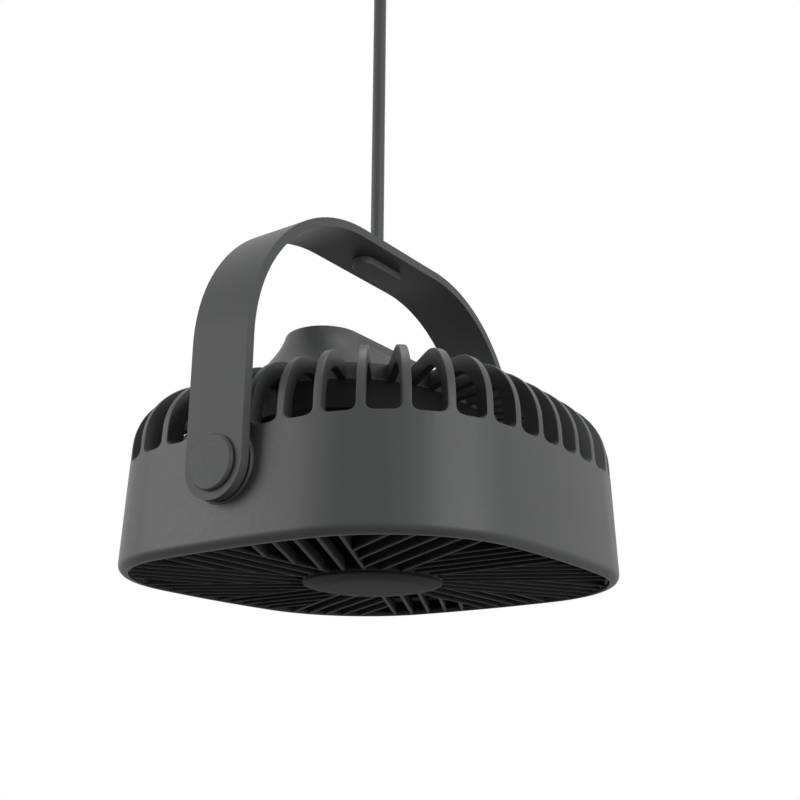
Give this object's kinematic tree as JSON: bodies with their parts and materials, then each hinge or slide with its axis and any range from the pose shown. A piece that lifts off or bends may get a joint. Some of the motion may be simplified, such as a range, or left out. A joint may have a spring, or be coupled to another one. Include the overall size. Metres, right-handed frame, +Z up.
{
  "type": "camping fan",
  "caption": "Portable square camping fan with a slotted grille and ribbed cage, tilting in a U-shaped handle that hangs from a rod with an eye.",
  "frame": {"origin": "on the fan's axis, at the lowest point of the hub cap in the grille", "axes": "+Z up along the fan's axis and the hanging rod, X along the handle's pivot axis with the charging socket on the +X end of the pod, +Y horizontal"},
  "size_m": [0.2038, 0.1904, 0.3488],
  "materials": {
    "housing_plastic": "fine moulded grain, dark grey",
    "handle_plastic": "fine moulded grain, dark grey",
    "grille_plastic": "moulded, dark grey",
    "hub_plastic": "smooth moulded, darker grey",
    "black_plastic": "moulded, black",
    "pale_plastic": "moulded, mid grey",
    "button_plastic": "satin, dark grey",
    "acetal": "moulded, natural white",
    "painted_rod": "satin grey paint on steel",
    "zinc_steel": "zinc plated",
    "rotor_steel": "drawn steel",
    "lamination_steel": "stacked laminations",
    "motor_metal": "die cast",
    "copper_wire": "enamelled winding",
    "ferrite": "sintered, dark",
    "cell_can": "wrapped in film",
    "board_laminate": "green board",
    "lamp_resin": "clear resin",
    "smoked_window": "smoked clear plastic",
    "washer_rubber": "thin rubbered disc"
  },
  "bodies": {
    "hanger": {"hanging_rod": "painted_rod", "hanging_eye": "housing_plastic"},
    "slider": {"slot_foot": "housing_plastic", "foot_cover": "pale_plastic"},
    "handle": {"handle_band": "handle_plastic", "pivot_cap_left": "handle_plastic", "pivot_cap_right": "handle_plastic", "pivot_bush_left": "acetal", "pivot_bush_right": "acetal"},
    "housing": {"rear_shell": "housing_plastic", "front_grille": "grille_plastic", "hub_cap": "hub_plastic", "air_duct": "black_plastic", "inner_tub": "black_plastic", "tub_screws": "zinc_steel", "motor_base": "motor_metal", "motor_screws": "zinc_steel", "shaft_bearings": "zinc_steel", "stator_core_stack": "lamination_steel", "stator_coils": "copper_wire", "battery_cells": "cell_can", "battery_tray": "black_plastic", "control_board": "board_laminate", "push_switches": "black_plastic", "charge_lamps": "lamp_resin", "charging_socket": "zinc_steel", "pod_cover": "housing_plastic", "charge_display": "smoked_window", "pivot_screw_left": "zinc_steel", "pivot_screw_right": "zinc_steel", "pivot_nut_left": "zinc_steel", "pivot_nut_right": "zinc_steel", "friction_washer_left": "washer_rubber", "friction_washer_right": "washer_rubber"},
    "impeller_rotor": {"impeller": "black_plastic", "rotor_cup": "rotor_steel", "rotor_magnets": "ferrite", "motor_shaft": "zinc_steel", "impeller_nut": "zinc_steel"},
    "power_button": {"power_button": "button_plastic"},
    "speed_button": {"speed_button": "button_plastic"}
  },
  "joints": [
    {"name": "hanger_swivel", "type": "hinge", "parent": "hanger", "child": "slider", "pos_m": [0, 0, 0.146], "axis": [0, 0, 1], "continuous": true},
    {"name": "slot_slide", "type": "slide", "parent": "slider", "child": "handle", "axis": [1, 0, 0], "range_m": [-0.0068, 0.0068]},
    {"name": "handle_tilt", "type": "hinge", "parent": "handle", "child": "housing", "pos_m": [0, 0, 0.0337], "axis": [1, 0, 0], "range_deg": [-180, 180]},
    {"name": "impeller_spin", "type": "hinge", "parent": "housing", "child": "impeller_rotor", "pos_m": [0, 0, 0.03], "axis": [0, 0, 1], "continuous": true},
    {"name": "power_press", "type": "slide", "parent": "housing", "child": "power_button", "axis": [0, 0, -1], "range_m": [0, 0.0006], "stiffness_N_per_m": 700, "springref_m": -0.001},
    {"name": "speed_press", "type": "slide", "parent": "housing", "child": "speed_button", "axis": [0, 0, -1], "range_m": [0, 0.0006], "stiffness_N_per_m": 700, "springref_m": -0.001}
  ]
}
